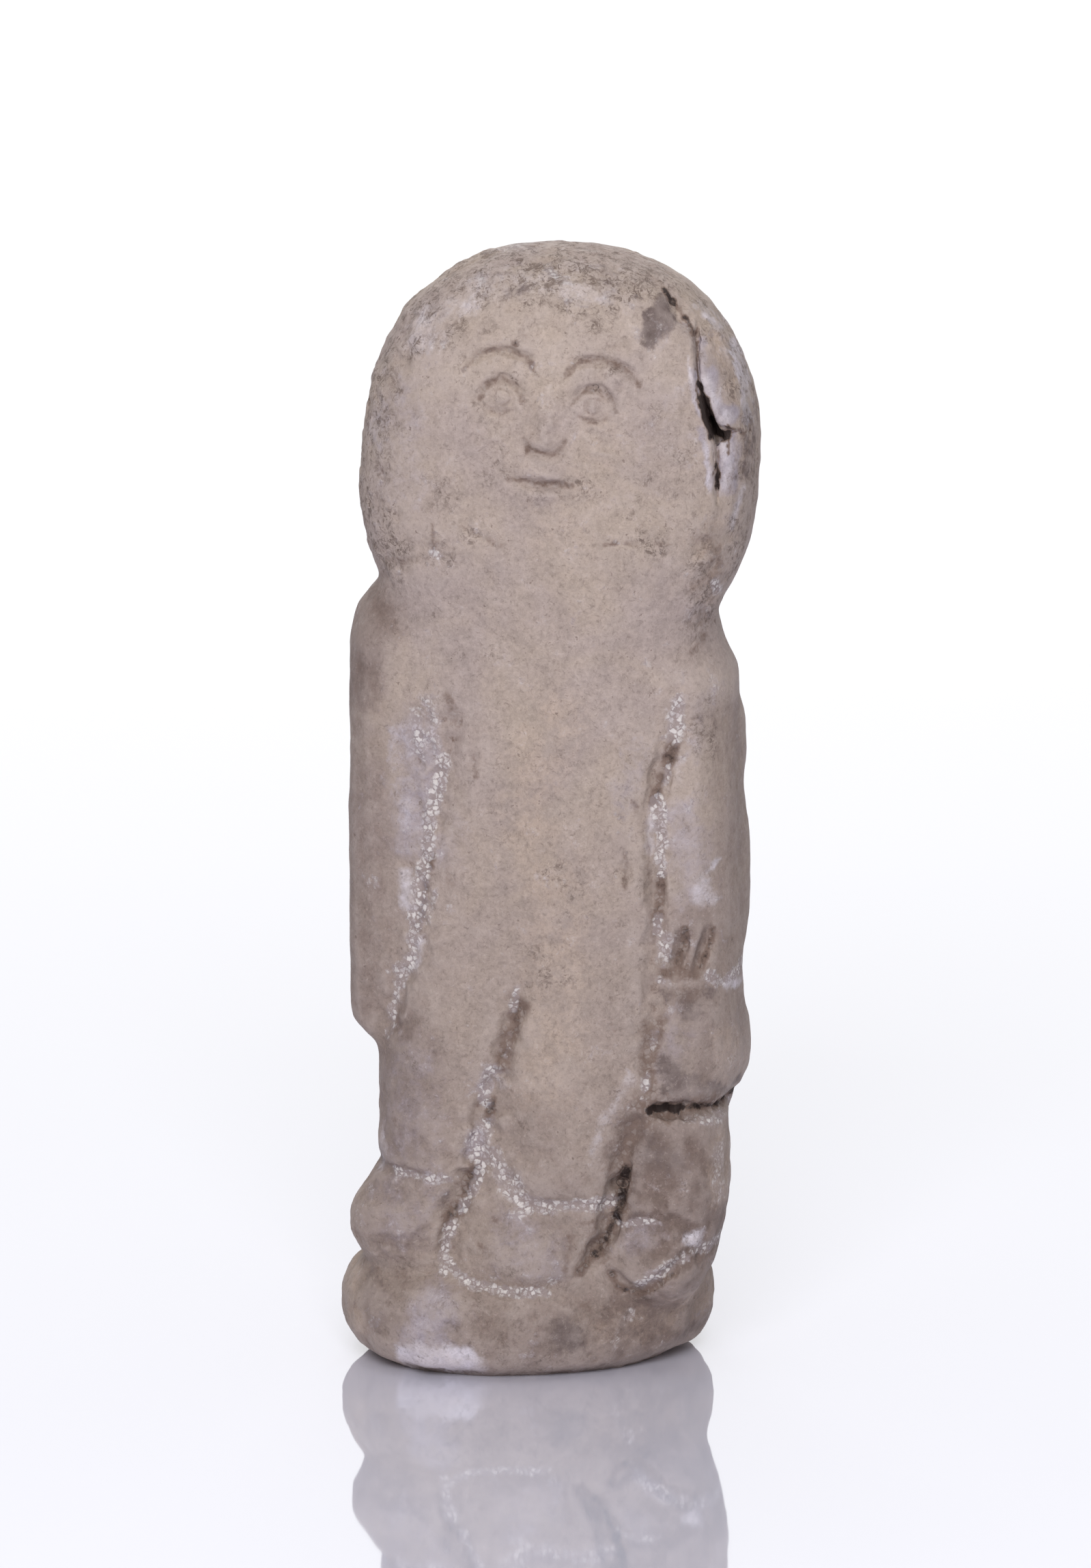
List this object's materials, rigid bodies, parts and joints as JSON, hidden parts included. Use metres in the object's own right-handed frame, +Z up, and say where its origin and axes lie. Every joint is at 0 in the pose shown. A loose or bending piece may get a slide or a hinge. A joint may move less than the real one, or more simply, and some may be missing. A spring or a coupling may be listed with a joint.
{
  "type": "votive figure",
  "caption": "Crude upright stone figure with a large round hooded head, incised face, arms held to the sides, robe, feet and a low uneven base, all carved from one block.",
  "frame": {"origin": "a point on the flat underside, below the middle of the trunk", "axes": "+Z up through the crown, -Y out of the face, +X towards the figure's own left hand"},
  "size_m": [0.0819, 0.0566, 0.2201],
  "materials": {
    "worn_stone": "worn, fine-grained marble-like stone, matt with soft polish on the raised parts, brown earth in the grooves"
  },
  "bodies": {
    "root": {"votive_figure": "worn_stone"}
  },
  "joints": []
}
